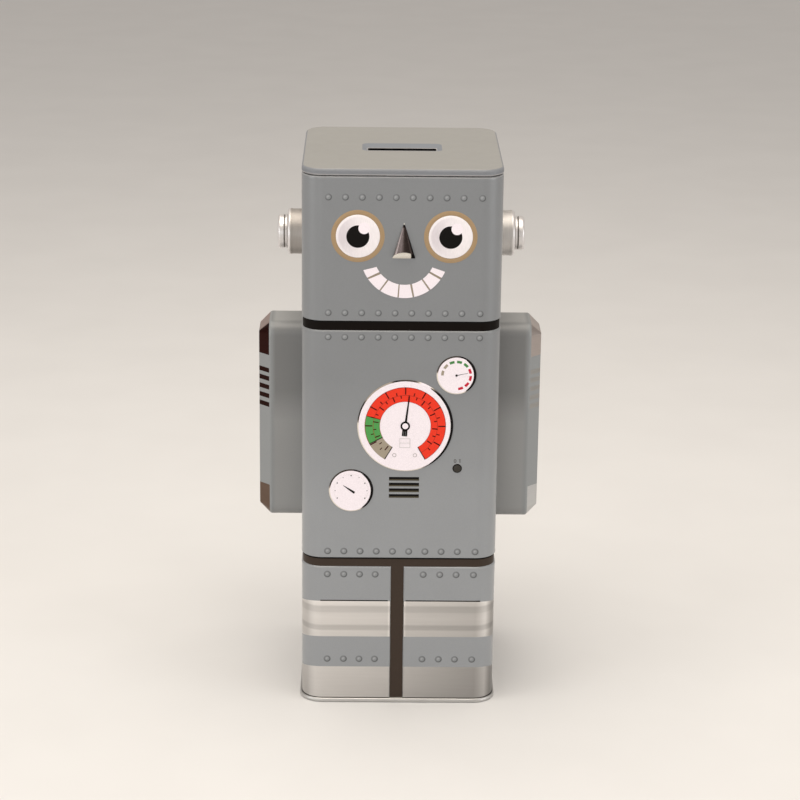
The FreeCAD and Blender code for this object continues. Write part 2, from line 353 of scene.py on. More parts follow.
def toned(name, stops, roughness=0.2, metallic=1.0, shine=0.5):
    """Finish whose tone runs with the mesh's own tone attribute."""
    material, tree, bsdf = shader(name)
    tone = tree.nodes.new("ShaderNodeAttribute")
    tone.attribute_name = "tone"
    base = ramp(tree, tone.outputs["Fac"], stops)
    streaks = noise(tree, 0.4, 2, (1, 1, 0.2))
    grain = ramp(tree, streaks, ((0.3, (0.92,) * 3), (0.7, (1.0,) * 3)))
    tree.links.new(multiply(tree, base, grain), bsdf.inputs["Base Color"])
    bsdf.inputs["Metallic"].default_value = metallic
    bsdf.inputs["Specular IOR Level"].default_value = shine
    tree.links.new(spread(tree, streaks, roughness - 0.04, roughness + 0.06), bsdf.inputs["Roughness"])
    bump(tree, bsdf, streaks, 0.003, 0.3)
    return material


SPUN = (1, 0.06, 0.06)
GREY = (0.262, 0.271, 0.282)
# Lighter copy of the arm paint, for the arms' sides and their edge band: painted light.
ARM_SIDE = (0.245, 0.253, 0.256)
LOOKS = {
    # Grey print. The strengths by height are painted light: full low on the body, darker towards the
    # head.
    "paint": enamel("grey_enamel", GREY, painted_light_by_height=((95, 1.0), (150, 0.77))),
    # Lid paint, warmer than the body grey: painted warm light on the lid's top.
    "lid_paint": enamel("lid_enamel", (0.255, 0.25, 0.236), 0.36, 0.2),
    # Arm paint with painted light: lighter on the lower arm, much lighter over the rounded top, and a
    # painted highlight band where it turns into the side colour near the chamfer.
    "arm_paint": enamel(
        "arm_enamel",
        (0.182, 0.1825, 0.181),
        0.42,
        0.1,
        (
            *((121, 1.5), (135, 1.0), (160.6, 1.0), (163.4, 1.2)),
            *((164.8, 1.36), (165.6, 1.4), (165.85, 1.75), (165.9, 1.9)),
        ),
        (ARM_SIDE, ARM_FLAT - 2.4, ARM_FLAT - 0.9),
    ),
    # Copies of the lid paint as painted light: a darker bluish slot slope and front edge as painted shade
    # and reflection, a lighter slot lip and rim as painted highlights.
    "slot_slope": enamel("slot_slope_enamel", (0.175, 0.19, 0.215), 0.45, 0.0),
    "slot_lip": enamel("slot_lip_enamel", (0.30, 0.29, 0.295), 0.4, 0.1),
    "lid_edge": enamel("lid_edge_enamel", (0.19, 0.197, 0.213), 0.5, 0.0),
    "lid_rim": enamel("lid_rim_enamel", (0.32, 0.31, 0.315), 0.45, 0.1),
    # Lighter copy of the grey for the body's rolled shoulder: painted highlight.
    "shoulder": enamel("shoulder_enamel", (0.30, 0.30, 0.305), 0.4, 0.2),
    # Side paint of the arms: painted light, lighter than the arm paint.
    "arm_side": enamel("arm_side_enamel", ARM_SIDE, 0.42, 0.1),
    # Black print, also laid on as painted shadow in the grooves, seams, creases, slot and dial rims.
    "black": ink("black_ink_and_painted_shadow", (0.007, 0.006, 0.0055), 0.5, 0.06),
    "neck": ink("neck_ink", (0.006, 0.004, 0.003), 0.5, 0.06),
    "brown": ink("brown_ink", (0.046, 0.032, 0.024), 0.45, 0.12),
    "switch": ink("switch_ink", (0.030, 0.026, 0.020), 0.4, 0.3),
    "white": ink("white_ink", (0.88, 0.80, 0.84)),
    "cream": ink("tooth_ink", (0.88, 0.80, 0.84)),
    "gap": ink("tooth_gap_ink", (0.30, 0.25, 0.19)),
    "red": ink("red_ink", (0.80, 0.034, 0.010)),
    "dark_red": ink("dark_red_ink", (0.52, 0.010, 0.035)),
    "green": ink("green_ink", (0.075, 0.31, 0.075)),
    "dark_green": ink("dark_green_ink", (0.06, 0.22, 0.06)),
    "tan": ink("tan_ink", (0.34, 0.29, 0.22)),
    "faint": ink("faint_ink", (0.62, 0.58, 0.58)),
    "dots": ink("dot_ink", (0.48, 0.44, 0.44)),
    "mark": ink("mark_ink", (0.12, 0.12, 0.12)),
    "tick": ink("tick_ink", (0.05, 0.008, 0.006), 0.5, 0.06),
    "scale": ink("scale_ink", (0.30, 0.022, 0.010)),
    "lip": ink("louvre_lip_ink", (0.060, 0.050, 0.028)),
    "gold": ink("gold_ink", (0.35, 0.235, 0.125), 0.4, 0.4),
    "tin": tinplate("bare_tin", (0.80, 0.78, 0.75)),
    # Darker copy of the bare tin for the hollow insides and the underside: painted shade.
    "inside": tinplate("inside_tin", (0.30, 0.29, 0.27), 0.4),
    # Darker, rougher copy of the bare tin for the seams and the stripe's edges: painted shade.
    "rim_tin": tinplate("seam_tin", (0.56, 0.55, 0.535), 0.42),
    # Left and right drums get different tints of one spun silver: painted light, the right drum lighter.
    "left_silver": tinplate("left_spun_silver", (0.44, 0.405, 0.375), 0.46, SPUN, 0.3, 0.6),
    "right_silver": tinplate("right_spun_silver", (0.62, 0.59, 0.565), 0.46, SPUN, 0.3, 0.6),
    # Lighter tint for the rounded rims as a painted highlight, darker tint in the grooves as painted
    # shade.
    "silver_rim": tinplate("spun_silver_rim", (0.74, 0.71, 0.70), 0.36, SPUN, 0.3, 0.7),
    "silver_dark": tinplate("spun_silver_groove", (0.17, 0.155, 0.14), 0.45, SPUN, 0.3, 0.7),
    "steel": tinplate("plated_steel", (0.60, 0.60, 0.59), 0.3, (1, 1, 1), 0.5),
    # Bare tin zones of the arms, tinted per arm as painted reflection: dark maroon on the left arm, pale
    # pinkish grey on the right; the top tints are lit copies for the upward faces, painted light.
    "left_arm_zone": tinplate("left_arm_tin", (0.030, 0.007, 0.005), 0.3),
    "left_arm_stripe": tinplate("left_arm_stripe_tin", (0.022, 0.006, 0.004), 0.35),
    "left_arm_top": tinplate("left_arm_top_tin", (0.50, 0.37, 0.33), 0.35),
    "left_arm_hand": tinplate("left_arm_hand_tin", (0.155, 0.105, 0.08), 0.35),
    "right_arm_zone": tinplate("right_arm_tin", (0.43, 0.375, 0.35), 0.35),
    "right_arm_stripe": tinplate("right_arm_stripe_tin", (0.34, 0.33, 0.315), 0.4),
    "right_arm_top": tinplate("right_arm_top_tin", (0.62, 0.54, 0.50), 0.35),
    "right_arm_hand": tinplate("right_arm_hand_tin", (0.54, 0.54, 0.54), 0.35),
    # Foot and knee tin: the left-to-right shares are painted reflection, falling off to the right, with
    # painted highlights near both corners and, on the knees, beside the stripe.
    "foot": leg_metal(
        "foot_tin",
        SEAM_TOP,
        FOOT_TOP,
        ((0, 0.58), (0.5, 0.60), (1, 0.62)),
        (
            *((0, 0.95), (0.03, 0.84), (0.07, 1.06), (0.45, 0.92), (0.56, 0.80)),
            *((0.70, 0.70), (0.90, 0.57), (0.955, 0.78), (0.985, 0.45), (1, 0.42)),
        ),
    ),
    "knee": leg_metal(
        "knee_tin",
        KNEE_BOTTOM,
        KNEE_TOP,
        (
            *((0, 0.62), (0.16, 0.64), (0.20, 0.51), (0.30, 0.49), (0.35, 0.64), (0.52, 0.67)),
            *((0.66, 0.64), (0.70, 0.56), (0.84, 0.54), (0.89, 0.71), (1, 0.76)),
        ),
        (
            *((0, 0.95), (0.03, 0.86), (0.07, 1.08), (0.445, 0.97), (0.452, 1.20)),
            *((0.46, 1.22), (0.527, 1.22), (0.533, 1.16), (0.54, 0.89), (0.90, 0.76)),
            *((0.955, 1.04), (0.985, 0.58), (1, 0.52)),
        ),
    ),
    # Bare metal nose whose tones are painted reflection: pinkish light on the left, dark to black on the
    # right, pale cream on the foot that faces the floor.
    "nose": toned(
        "nose_tin",
        (
            *((0, (0.30, 0.26, 0.25)), (0.10, (0.26, 0.22, 0.21)), (0.30, (0.17, 0.135, 0.13))),
            *((0.42, (0.075, 0.057, 0.052)), (0.64, (0.022, 0.016, 0.014))),
            *((0.70, (0.006, 0.005, 0.005)), (0.88, (0.005, 0.004, 0.004))),
            *((0.94, (0.62, 0.58, 0.51)), (1, (0.86, 0.83, 0.77))),
        ),
        0.3,
    ),
    # Dial rim tones over the dial's white: painted shade and highlight, from black to cream.
    "rim": toned(
        "dial_rim_ink_and_painted_shade",
        (
            *((0, (0.005, 0.004, 0.004)), (0.4, (0.10, 0.08, 0.065)), (0.7, (0.36, 0.31, 0.26))),
            *((0.9, (0.76, 0.69, 0.60)), (1, (0.88, 0.80, 0.84))),
        ),
        *(0.5, 0.0, 0.1),
    ),
    "rivet": toned(
        "rivet_print",
        ((0, (0.075, 0.078, 0.08)), (0.5, tinted(GREY, -0.12)), (1, (0.46, 0.46, 0.46))),
        *(0.36, 0.0),
    ),
    # Eyeball white with painted shade on its left half and a painted highlight at its rim.
    "eyeball": toned(
        "eyeball_ink_and_painted_shade",
        ((0, (0.60, 0.54, 0.57)), (0.5, (0.78, 0.72, 0.74)), (1, (0.88, 0.82, 0.83))),
        *(0.4, 0.0),
    ),
}


# ---------------------------------------------------------------- mesh tools

def circle_angles(count):
    """Evenly spaced angles round a circle."""
    return [2 * math.pi * step / count for step in range(count)]


def rectangle(left, right, low, high):
    """Outline of a rectangle."""
    return [(left, low), (right, low), (right, high), (left, high)]


def quads(low, high, count):
    """Faces between two closed rows of count points each, given the rows' numbers."""
    low, high = low * count, high * count
    steps = [(index, (index + 1) % count) for index in range(count)]
    return [(low + index, low + after, high + after, high + index) for index, after in steps]


class Builder:
    """Gathers the points and faces of one piece, in millimetres."""

    def __init__(self):
        self.points = []
        self.tones = []
        self.faces = []
        self.looks = []

    def add(self, points, faces, looks, place=None, tones=None):
        """Adds a patch. looks is one name, or one for each face."""
        start = len(self.points)
        for point in points:
            vector = Vector(point)
            self.points.append(place @ vector if place else vector)
        self.tones += list(tones) if tones else [1.0] * len(points)
        self.faces += [[start + index for index in face] for face in faces]
        self.looks += [looks] * len(faces) if isinstance(looks, str) else list(looks)

    def save(self, name, body="body", slot="printed_tin", replaced=(), sharp_degrees=35):
        """Makes the gathered mesh a piece."""
        return piece(name, self.mesh(name), body, replaced, sharp_degrees)

    def rings(self, rings, looks, closed=False, caps=False, place=None, tones=None):
        """Joins equal closed rings in a row with quads. looks is one name, or one for each gap."""
        count = len(rings[0])
        points = [point for ring in rings for point in ring]
        pairs = [(row, row + 1) for row in range(len(rings) - 1)]
        if closed:
            pairs.append((len(rings) - 1, 0))
        faces = []
        face_looks = []
        for gap, (low, high) in enumerate(pairs):
            faces += quads(low, high, count)
            face_looks += [looks if isinstance(looks, str) else looks[gap]] * count
        if caps:
            faces.append(tuple(reversed(range(count))))
            face_looks.append(face_looks[0])
            faces.append(tuple((len(rings) - 1) * count + index for index in range(count)))
            face_looks.append(face_looks[-2])
        self.add(points, faces, face_looks, place, tones)

    def lathe(self, profile, looks, place=None, segments=48, tone=None):
        """Turns a profile of (radius, height) about the local Z axis. looks is one name, or one
        for each gap. A radius of 0 closes an end in one point."""
        points = []
        tones = []
        rows = []
        for radius, height in profile:
            row = []
            for angle in circle_angles(1 if radius == 0 else segments):
                row.append(len(points))
                points.append((radius * math.cos(angle), radius * math.sin(angle), height))
                tones.append(tone(radius, angle) if tone else 1.0)
            rows.append(row)
        faces = []
        face_looks = []
        for gap, (low, high) in enumerate(zip(rows, rows[1:])):
            for step in range(segments):
                after = (step + 1) % segments
                corners_used = [low[step % len(low)], low[after % len(low)]]
                corners_used += [high[after % len(high)], high[step % len(high)]]
                faces.append(tuple(dict.fromkeys(corners_used)))
                face_looks.append(looks if isinstance(looks, str) else looks[gap])
        self.add(points, faces, face_looks, place, tones)

    def plate(self, outline, low, high, look, place=None):
        """Thin flat plate of any outline, between two local heights."""
        count = len(outline)
        points = [(x, y, low) for x, y in outline] + [(x, y, high) for x, y in outline]
        faces = [tuple(reversed(range(count))), tuple(range(count, 2 * count))]
        self.add(points, faces + quads(0, 1, count), look, place)

    def crowned_disc(self, centre, radius, crown, lift, look, place=None, segments=40):
        """Round ink patch that follows a crowned surface, whose height is crown(x, y)."""
        steps = 6
        rings_used = []
        for step in range(1, steps + 1):
            ring = []
            for angle in circle_angles(segments):
                x = centre[0] + radius * step / steps * math.cos(angle)
                y = centre[1] + radius * step / steps * math.sin(angle)
                ring.append((x, y, crown(x, y) + lift))
            rings_used.append(ring)
        rings_used.append([(x, y, z - lift - INK) for x, y, z in rings_used[-1]])
        self.rings(list(reversed(rings_used)), look, caps=True, place=place)

    def mesh(self, name):
        """The gathered mesh in metres, with its materials and its tone attribute."""
        mesh = bpy.data.meshes.new(name)
        mesh.from_pydata([point * MM for point in self.points], [], self.faces)
        names = sorted(set(self.looks), key=self.looks.index)
        for look in names:
            mesh.materials.append(LOOKS[look])
        for polygon, look in zip(mesh.polygons, self.looks):
            polygon.material_index = names.index(look)
        tone = mesh.attributes.new("tone", "FLOAT", "POINT")
        tone.data.foreach_set("value", self.tones)
        mesh.validate()
        return mesh


def finish_mesh(mesh, sharp_degrees):
    """Consistent outward faces, smooth apart from sharp edges."""
    work = bmesh.new()
    work.from_mesh(mesh)
    bmesh.ops.recalc_face_normals(work, faces=work.faces)
    work.to_mesh(mesh)
    work.free()
    mesh.polygons.foreach_set("use_smooth", [True] * len(mesh.polygons))
    mesh.set_sharp_from_angle(angle=math.radians(sharp_degrees))


def piece(name, mesh, body, replaced=(), sharp_degrees=35):
    """Object for a finished mesh that rides on a body and may stand for CAD nodes."""
    finish_mesh(mesh, sharp_degrees)
    thing = bpy.data.objects.new(name, mesh)
    bpy.context.scene.collection.objects.link(thing)
    weighted = thing.modifiers.new("even_normals", "WEIGHTED_NORMAL")
    weighted.keep_sharp = True
    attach(thing, body)
    if replaced:
        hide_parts(*replaced)
    return thing


def wall_place(side, across, height):
    """Local frame on a wall: X to the viewer's right, Y up and Z outward."""
    turn = {"front": 0, "right": 90, "back": 180, "left": -90}[side]
    reach = HALF_DEPTH if side in ("front", "back") else HALF_WIDTH
    local = Matrix(((1, 0, 0, across), (0, 0, -1, -reach), (0, 1, 0, height), (0, 0, 0, 1)))
    return Matrix.Rotation(math.radians(turn), 4, "Z") @ local


def side_place(sign, x, height):
    """Local frame whose Z points out along X on one side, at the middle of the depth."""
    return Matrix(((0, 0, sign, sign * x), (sign, 0, 0, 0), (0, 1, 0, height), (0, 0, 0, 1)))


def rounded_loop(half_x, half_y, radius, height, steps=CORNER_STEPS):
    """Rounded rectangle as one ring of points."""
    ring = []
    for quarter, (along_x, along_y) in enumerate(((1, -1), (1, 1), (-1, 1), (-1, -1))):
        for step in range(steps + 1):
            angle = math.radians(90 * (quarter - 1) + 90 * step / steps)
            x = along_x * (half_x - radius) + radius * math.cos(angle)
            y = along_y * (half_y - radius) + radius * math.sin(angle)
            ring.append((x, y, height))
    return ring


def body_loop(offset, height):
    """The body's outline moved outward by offset."""
    half_x, half_y = HALF_WIDTH + offset, HALF_DEPTH + offset
    return rounded_loop(half_x, half_y, CORNER_RADIUS + offset, height)


def sector(inner, outer, start, end, steps=24, stretch=1.0):
    """Outline of a piece of a ring, between two angles in degrees."""
    angles = [math.radians(start + (end - start) * step / steps) for step in range(steps + 1)]
    outline = [(outer * math.cos(a), outer * math.sin(a) * stretch) for a in angles]
    outline += [(inner * math.cos(a), inner * math.sin(a) * stretch) for a in reversed(angles)]
    return outline


def bar(start, end, width_start, width_end):
    """Outline of a straight tapered bar between two points."""
    first, last = Vector(start), Vector(end)
    along = (last - first).normalized()
    across = Vector((-along.y, along.x))
    points = [first - across * width_start / 2, last - across * width_end / 2]
    points += [last + across * width_end / 2, first + across * width_start / 2]
    return [tuple(point) for point in points]


def polar(radius, degrees):
    """Point at a radius and an angle."""
    angle = math.radians(degrees)
    return (radius * math.cos(angle), radius * math.sin(angle))


def clock(degrees):
    """Angle on a dial, clockwise from the top, as an angle from the local X axis."""
    return 90 - degrees


# ---------------------------------------------------------------- body

def groove_levels(low, high, colour):
    """Levels (height, offset, look above) of a pressed band whose upper step is painted black as shadow.
    """
    depth = -GROOVE_DEPTH
    shoulder = ((0.9, 0.0), (0.5, 0.12), (0.15, 0.08), (0, -0.05))
    levels = [(low - away, offset, "paint") for away, offset in shoulder]
    levels += [(low + 0.35, depth, colour), (high - 0.8, depth, "black"), (high - 0.2, depth, "black")]
    levels += [(high + away, offset, "paint") for away, offset in reversed(shoulder)]
    return levels


def skin_levels():
    """Levels of the wrap's outside from the foot to the rolled shoulder."""
    levels = [
        (SEAM_LOW.z + 0.8, 0.0, "foot"),
        # Thin black band just above the seam's rim: painted shadow.
        (SEAM_RIM - 0.05, 0.0, "black"),
        (SEAM_RIM + 0.28, 0.0, "foot"),
        (FOOT_TOP, 0.0, "paint"),
        (KNEE_BOTTOM, 0.0, "knee"),
        (KNEE_TOP, 0.0, "paint"),
    ]
    levels += groove_levels(WAIST_BOTTOM, WAIST_TOP, "brown")
    levels += groove_levels(NECK_BOTTOM, NECK_TOP, "neck")
    # The shoulder tint on the rolled top edge is a painted highlight.
    levels += [(BODY_TOP - 1.6, 0.0, "paint"), (BODY_TOP - 0.9, -0.06, "shoulder")]
    levels += [(BODY_TOP - 0.55, -0.25, "shoulder"), (BODY_TOP - 0.35, -0.6, "inside")]
    return levels


def skin_columns():
    """Columns (x, y, outward x, outward y, recess) round the wrap, with the stripe and the seam."""
    left, right = STRIPE_CENTRE - STRIPE_HALF, STRIPE_CENTRE + STRIPE_HALF
    stripe = [left - STRIPE_EDGE, left, right, right + STRIPE_EDGE]
    columns = []
    flat_x = HALF_WIDTH - CORNER_RADIUS
    flat_y = HALF_DEPTH - CORNER_RADIUS
    for quarter, (along_x, along_y) in enumerate(((1, -1), (1, 1), (-1, 1), (-1, -1))):
        for step in range(CORNER_STEPS + 1):
            angle = math.radians(90 * (quarter - 1) + 90 * step / CORNER_STEPS)
            out_x, out_y = math.cos(angle), math.sin(angle)
            x = along_x * flat_x + CORNER_RADIUS * out_x
            y = along_y * flat_y + CORNER_RADIUS * out_y
            columns.append((x, y, out_x, out_y, ""))
        if quarter == 1:
            for x in (LOCK_HALF, LOCK_HALF - 0.3, -LOCK_HALF + 0.3, -LOCK_HALF):
                kind = "seam" if abs(x) < LOCK_HALF else ""
                columns.append((x, HALF_DEPTH, 0, 1, kind))
    for number, x in enumerate(stripe):
        columns.append((x, -HALF_DEPTH, 0, -1, "stripe" if number in (1, 2) else ""))
    return columns


def make_body_skin():
    """The printed wrap: walls, pressed bands, leg stripe, lock seam and hemmed mouth."""
    levels = skin_levels()
    columns = skin_columns()
    count = len(columns)

    def ring(height, offset, thickness=0.0):
        points = []
        for x, y, out_x, out_y, kind in columns:
            drop = PRINT_DROOP * (1 - abs(out_y)) if height in (FOOT_TOP, KNEE_BOTTOM, KNEE_TOP) else 0
            reach = offset
            if kind == "stripe" and height < WAIST_BOTTOM + 1:
                reach = min(offset, -GROOVE_DEPTH)
            if kind == "seam" and height < BODY_TOP - 1:
                reach = offset + LOCK_RISE
            reach -= thickness
            points.append((x + out_x * reach, y + out_y * reach, height - drop))
        return points

    outer = [ring(height, offset) for height, offset, look in levels]
    fold = ((0.3, -0.75), (0.45, -0.95), (2.4, -0.95), (2.6, -0.6), (2.6, -GAUGE))
    hem = [ring(BODY_TOP - down, offset) for down, offset in fold]
    deep = [level for level in reversed(levels) if level[0] < BODY_TOP - 3]
    inner = [ring(height, offset, GAUGE) for height, offset, look in deep]
    rings = outer + hem + inner
    builder = Builder()
    looks = []
    for gap in range(len(rings)):
        for index in range(count):
            after = (index + 1) % count
            kinds = (columns[index][4], columns[after][4])
            if gap >= len(levels) - 1:
                looks.append("inside")
                continue
            height, _, look = levels[gap]
            # Seam and stripe edges in the legs' zones get the darker seam tin: painted shade.
            if "seam" in kinds and look in ("foot", "knee"):
                look = "rim_tin"
            if height < WAIST_BOTTOM + 0.3:
                if kinds == ("stripe", "stripe"):
                    look = "brown"
                elif "stripe" in kinds and look in ("foot", "knee"):
                    look = "rim_tin"
            looks.append(look)
    points = [point for level in rings for point in level]
    faces = []
    for gap in range(len(rings)):
        faces += quads(gap, (gap + 1) % len(rings), count)
    builder.add(points, faces, looks)
    builder.save("body_skin", replaced=["body_wrap"], sharp_degrees=40)


def make_knee_creases():
    """Fine black line along the top of each knee band, on the flat of the front and the back: painted
    shadow of the crease.
    """
    builder = Builder()
    for side, mirror in (("front", 1), ("back", -1)):
        place = wall_place(side, 0, KNEE_TOP)
        for left, right in ((-34.2, -4.6), (3.2, 36.0)):
            low, high = sorted((left * mirror, right * mirror))
            builder.plate(rectangle(low, high, 0.0, 0.5), -0.05, INK, "black", place)
    builder.save("knee_creases")


def rivet_tone(radius, angle):
    """Dark printed outline, lighter on the upper left, with a bright spot inside it."""
    facing = math.cos(angle - math.radians(135))
    if radius > 1.5:
        return 0.5
    if radius > 1.0:
        return 0.16 + 0.12 * facing
    if radius > 0.7:
        return 0.48
    return 0.6 + 0.15 * facing if radius > 0.3 else 0.6


def make_rivet_heads():
    """Low rivet heads with their printed outlines, in rows on all four walls."""
    builder = Builder()
    rise = RIVET_HEAD_RISE
    profile = [(1.66, -0.04), (1.6, 0.015), (1.42, 0.03), (1.12, 0.045)]
    profile += [(0.85, 0.6 * rise), (0.45, 0.9 * rise), (0, rise)]
    row = [RIVET_FIRST + RIVET_PITCH * step for step in range(9)] + [RIVET_LAST]
    for side in ("front", "back", "left", "right"):
        spots = [(across, height) for height in RIVET_ROWS for across in row]
        across_legs = LEG_RIVETS if side in ("front", "back") else row
        spots += [(across, height) for height in LEG_ROWS for across in across_legs]
        if side == "back":
            spots = [spot for spot in spots if abs(spot[0]) > LOCK_HALF + 2 * RIVET_HEAD_RADIUS]
        for across, height in spots:
            place = wall_place(side, across, height)
            builder.lathe(profile, "rivet", place, 24, rivet_tone)
    builder.save("rivet_heads", sharp_degrees=60)


def eye_crown(x, y):
    """Height of the eyeball over the wall."""
    share = min(1.0, (x * x + y * y) / EYE_WHITE**2)
    return 0.3 + EYE_CROWN * (1 - share)


def eye_tone(radius, angle):
    """Tone of the eyeball: a painted highlight brightest at its rim, with a painted soft shadow round its
    left half.
    """
    if radius > 8.2:
        return 1.0
    if radius > 5:
        return 0.72 + 0.5 * math.cos(angle - math.radians(-10))
    return 0.85


def make_eye(name, centre):
    """Pressed eye: gold bead, crowned white, pupil and a round glint."""
    place = wall_place("front", *centre)
    builder = Builder()
    bead = ((0.2, -0.1), (0.15, 0.02), (-0.2, 0.16), (-0.7, 0.26), (-1.3, 0.24))
    profile = [(EYE_RING + away, height) for away, height in bead]
    profile += [(EYE_WHITE + 0.1, 0.12), (EYE_WHITE, 0.12)]
    crown = [(radius, eye_crown(radius, 0)) for radius in (9.0, 8.7, 8.0, 6.5, 5.2, 4.6, 3.0, 1.5, 0)]
    looks = ["paint"] + ["gold"] * 4 + ["gap"] + ["eyeball"] * len(crown)
    builder.lathe(profile + crown, looks, place, 96, eye_tone)
    builder.crowned_disc((0, 0), PUPIL, eye_crown, INK, "black", place)
    builder.crowned_disc(GLINT_OFFSET, GLINT, eye_crown, 2 * INK, "white", place)
    builder.save(name)


def make_nose():
    """Bright pressed nose: half a cone cut off at a slant, with a foot sloping back to the wall."""
    across = 20
    lip = []
    foot = []
    for step in range(across + 1):
        angle = math.pi * (1 - step / across)
        x = NOSE_CENTRE + NOSE_HALF_WIDTH * math.cos(angle)
        reach = math.sin(angle)
        y = FRONT_Y - NOSE_STAND_OUT * reach - 0.04
        lip.append(Vector((x, y, NOSE_BOTTOM + NOSE_TIP_RISE * reach + 0.15)))
        foot.append(Vector((x, FRONT_Y - 0.04 - 0.25 * reach, NOSE_BOTTOM)))
    apex = Vector((NOSE_CENTRE, FRONT_Y - 0.04, NOSE_TOP))
    shares = (0.02, 0.06, 0.2, 0.4, 0.6, 0.8, 1.0)
    rows = [[apex.lerp(point, share) for point in lip] for share in shares]
    # Painted reflection in the tones: a painted highlight near the tip, and across the cone from pinkish
    # light on the left to black on the right.
    side_tones = [0.86 * step / across for step in range(across + 1)]
    tones = [[0.96] * (across + 1), [0.95] * (across + 1)] + [side_tones] * (len(rows) - 2)
    rows.append([point + Vector((0, 0.02, -0.12)) for point in lip])
    rows += [[point.lerp(low, 0.45) for point, low in zip(lip, foot)], foot]
    # Painted reflection on the foot, which faces the floor: pale over most of it, dark at the right end.
    shaded = round(0.76 * across)
    tones += [[tone] * shaded + [0.8] * (across + 1 - shaded) for tone in (0.97, 1.0, 0.95)]
    rings_used = []
    ring_tones = []
    for row, values in zip(rows, tones):
        back = [Vector((end.x, FRONT_Y + 0.15, end.z)) for end in (row[-1], row[0])]
        rings_used.append(row + back)
        ring_tones += values + [values[-1], values[0]]
    builder = Builder()
    builder.rings(rings_used, "nose", caps=True, tones=ring_tones)
    builder.save("nose", sharp_degrees=40)


def make_mouth():
    """Seven printed teeth on an arc, over the brown of the gaps."""
    place = wall_place("front", *MOUTH_CENTRE)
    builder = Builder()
    start, end = TEETH[0][1] - 179, TEETH[-1][3] - 181
    under = sector(MOUTH_INNER + 0.2, MOUTH_OUTER - 0.2, start, end, 60, MOUTH_STRETCH)
    builder.plate(under, -0.05, INK, "gap", place)
    for tooth in TEETH:
        builder.plate(tooth_outline(*tooth), -0.05, 4 * INK, "cream", place)
    builder.save("mouth")


def tooth_outline(outer_start, inner_start, outer_end, inner_end):
    """Outline of one tooth from the angles of its four corners, counted from the left."""
    outline = []
    steps = 8
    arcs = ((MOUTH_OUTER, outer_start, outer_end), (MOUTH_INNER, inner_end, inner_start))
    for radius, start, end in arcs:
        for step in range(steps + 1):
            x, y = polar(radius, start + (end - start) * step / steps - 180)
            outline.append((x, y * MOUTH_STRETCH))
    return outline


def between(degrees, start, end, soft):
    """1 between two angles, falling to 0 over soft degrees outside them."""
    return max(0.0, min(1.0, (degrees - start) / soft + 1, (end - degrees) / soft + 1))


def small_rim_tone(radius, angle):
    """Painted shade round the top and right of a small dial's rim, and a painted highlight round its
    lower left.
    """
    degrees = (math.degrees(angle) + 90) % 360 - 90
    shade = between(degrees, -50, 70, 15) + 0.8 * between(degrees, 70, 165, 10)
    return 0.9 * (1.0 - min(1.0, shade))


def main_rim_tone(radius, angle):
    """Painted shade: a dark crescent on the right and fine dark arcs at the top and left; a painted
    highlight below.
    """
    degrees = (math.degrees(angle) + 90) % 360 - 90
    shade = between(degrees, -58, 46, 12)
    shade += 0.75 * between(degrees, 78, 102, 6) + 0.9 * between(degrees, 153, 170, 7)
    light = 0.9 + 0.1 * between(degrees, 50, 140, 10)
    return light * (1.0 - min(1.0, shade + 0.3 * between(degrees, 102, 150, 8)))


def make_dial_base(builder, place, radius, tone):
    """Pressed disc with a rolled rim, a white face and the shadow side painted on as a black crescent."""
    rise = DIAL_RISE
    flat = radius - DIAL_RIM
    profile = [(radius + 0.1, -0.1), (radius, 0.05), (radius - 0.2, 0.3)]
    profile += [(flat + 0.1, rise), (flat, rise), (flat - 0.35, DIAL_FACE), (0, DIAL_FACE)]
    builder.lathe(profile, ["rim"] * 3 + ["white"] * 3, place, 128, tone)
    # Painted shadow: a black crescent inside the rim on the right.
    outer, inner = [], []
    for step in range(49):
        degrees = -58 + 116 * step / 48
        depth = 0.25 + 0.5 * math.sin(math.pi * step / 48) ** 0.6
        outer.append(polar(flat + 0.25, degrees))
        inner.append(polar(flat + 0.25 - depth, degrees))
    builder.plate(outer + inner[::-1], rise - 0.1, rise + 0.02, "black", place)


